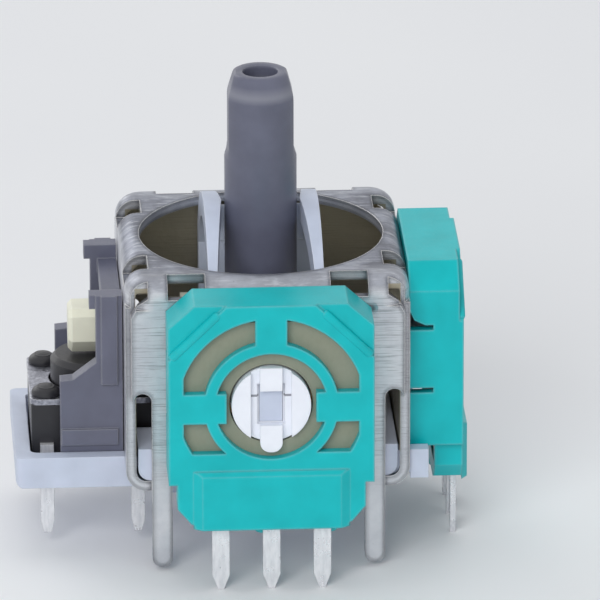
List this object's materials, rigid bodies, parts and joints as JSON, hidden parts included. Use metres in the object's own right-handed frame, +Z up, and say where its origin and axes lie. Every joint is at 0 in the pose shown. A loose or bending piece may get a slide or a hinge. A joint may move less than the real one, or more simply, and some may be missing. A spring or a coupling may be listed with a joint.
{
  "type": "analog stick module",
  "caption": "Two-axis thumb stick module in a square sheet-metal frame, with a potentiometer on each axis and a push switch on a side tray.",
  "frame": {"origin": "on the stick's axis, on the face of the circuit board that the module's foot sits on", "axes": "+Z up along the stick, +X to the right along the lower gimbal towards the side potentiometer, -Y towards the front potentiometer"},
  "size_m": [0.0224, 0.0171, 0.0236],
  "materials": {
    "tinned_steel": "fine brushed tinned sheet",
    "base_plastic": "moulded light blue-grey",
    "grey_plastic": "moulded grey-violet",
    "seat_plastic": "moulded",
    "spring_steel": "drawn wire",
    "black_plastic": "moulded",
    "switch_metal": "stamped",
    "pin_metal": "tinned",
    "arch_plastic": "moulded light grey-blue",
    "ivory_plastic": "moulded",
    "teal_plastic": "moulded satin",
    "board_laminate": "punched laminate",
    "white_plastic": "moulded",
    "spring_bronze": "thin sprung sheet"
  },
  "bodies": {
    "module": {"frame_cover": "tinned_steel", "base_tray": "base_plastic", "side_bracket": "grey_plastic", "spring_seat": "seat_plastic", "return_spring": "spring_steel", "switch_body": "black_plastic", "switch_cover": "switch_metal", "switch_dome": "switch_metal", "switch_leads": "pin_metal", "front_pot_housing": "teal_plastic", "front_pot_board": "board_laminate", "front_pot_pins": "pin_metal", "front_pot_rivets": "pin_metal", "side_pot_housing": "teal_plastic", "side_pot_board": "board_laminate", "side_pot_pins": "pin_metal", "side_pot_rivets": "pin_metal"},
    "side_rotor": {"side_rotor": "white_plastic", "side_wiper": "spring_bronze"},
    "gimbal": {"lower_gimbal": "ivory_plastic"},
    "stick": {"stick": "grey_plastic"},
    "arch": {"upper_arch": "arch_plastic", "front_rotor": "white_plastic", "front_wiper": "spring_bronze"},
    "plunger": {"switch_plunger": "black_plastic"}
  },
  "joints": [
    {"name": "tilt_back_and_forth", "type": "hinge", "parent": "module", "child": "side_rotor", "pos_m": [0, 0, 0.00635], "axis": [1, 0, 0], "range_deg": [-20, 20], "stiffness_Nm_per_rad": 0.02, "deforming": ["return_spring"]},
    {"name": "press", "type": "hinge", "parent": "side_rotor", "child": "gimbal", "pos_m": [0.00825, 0, 0.00635], "axis": [0, -1, 0], "range_deg": [0, 0.9], "stiffness_Nm_per_rad": 2, "springref_deg": -0.57},
    {"name": "tilt_left_and_right", "type": "hinge", "parent": "gimbal", "child": "stick", "pos_m": [0, 0, 0.00635], "axis": [0, 1, 0], "range_deg": [-20, 20], "stiffness_Nm_per_rad": 0.02},
    {"name": "arch_swing", "type": "hinge", "parent": "module", "child": "arch", "pos_m": [0, 0, 0.00635], "axis": [0, 1, 0], "range_deg": [-20, 20]},
    {"name": "plunger_slide", "type": "slide", "parent": "module", "child": "plunger", "axis": [0, 0, -1], "range_m": [0, 0.00025]}
  ],
  "couplings": [
    {"joint": "arch_swing", "follows": "tilt_left_and_right", "ratio": 1},
    {"joint": "plunger_slide", "follows": "press", "m_per_rad": 0.0159}
  ]
}
